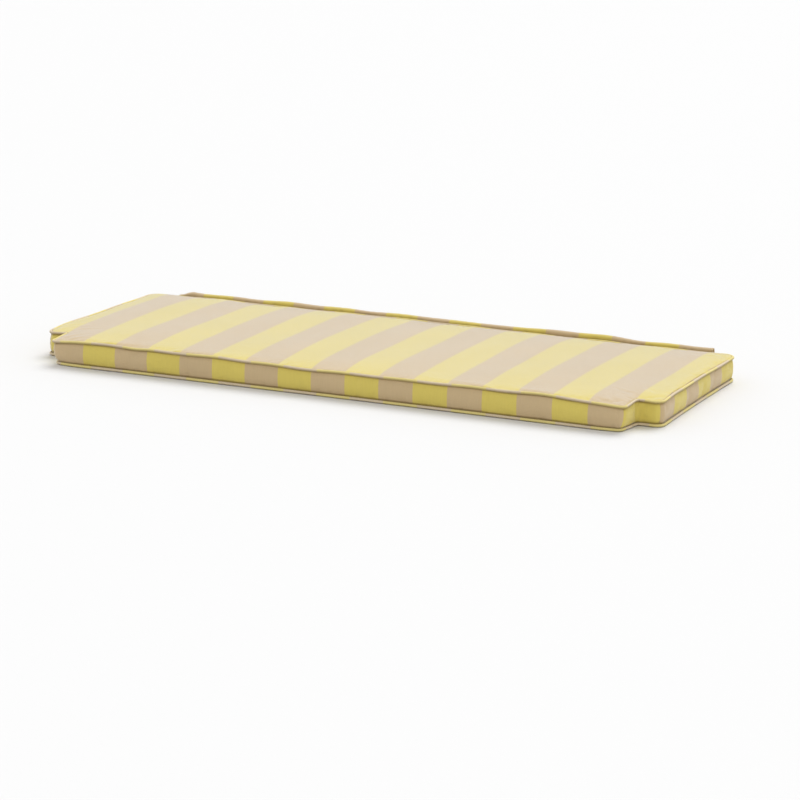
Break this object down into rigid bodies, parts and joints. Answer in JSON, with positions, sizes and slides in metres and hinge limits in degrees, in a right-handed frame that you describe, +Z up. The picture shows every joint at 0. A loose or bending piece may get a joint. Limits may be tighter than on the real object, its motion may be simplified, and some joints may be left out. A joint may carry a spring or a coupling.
{
  "type": "bench cushion",
  "caption": "Thin boxed seat cushion with piped seams, front corners notched for arm posts, a crowned top and a rear flap.",
  "frame": {"origin": "on the floor, under the middle of the whole part's box", "axes": "+X to the right along the front edge, +Y from the notched front edge to the flap, +Z up"},
  "size_m": [1.1412, 0.4672, 0.0531],
  "materials": {
    "cover_cloth": "matt plain weave in even pale yellow and beige stripes",
    "piping_cloth": "the same striped weave round a cord",
    "flap_cloth": "the same striped weave, doubled"
  },
  "bodies": {
    "root": {"cushion": "cover_cloth", "upper_piping": "piping_cloth", "lower_piping": "piping_cloth", "rear_flap": "flap_cloth"}
  },
  "joints": []
}
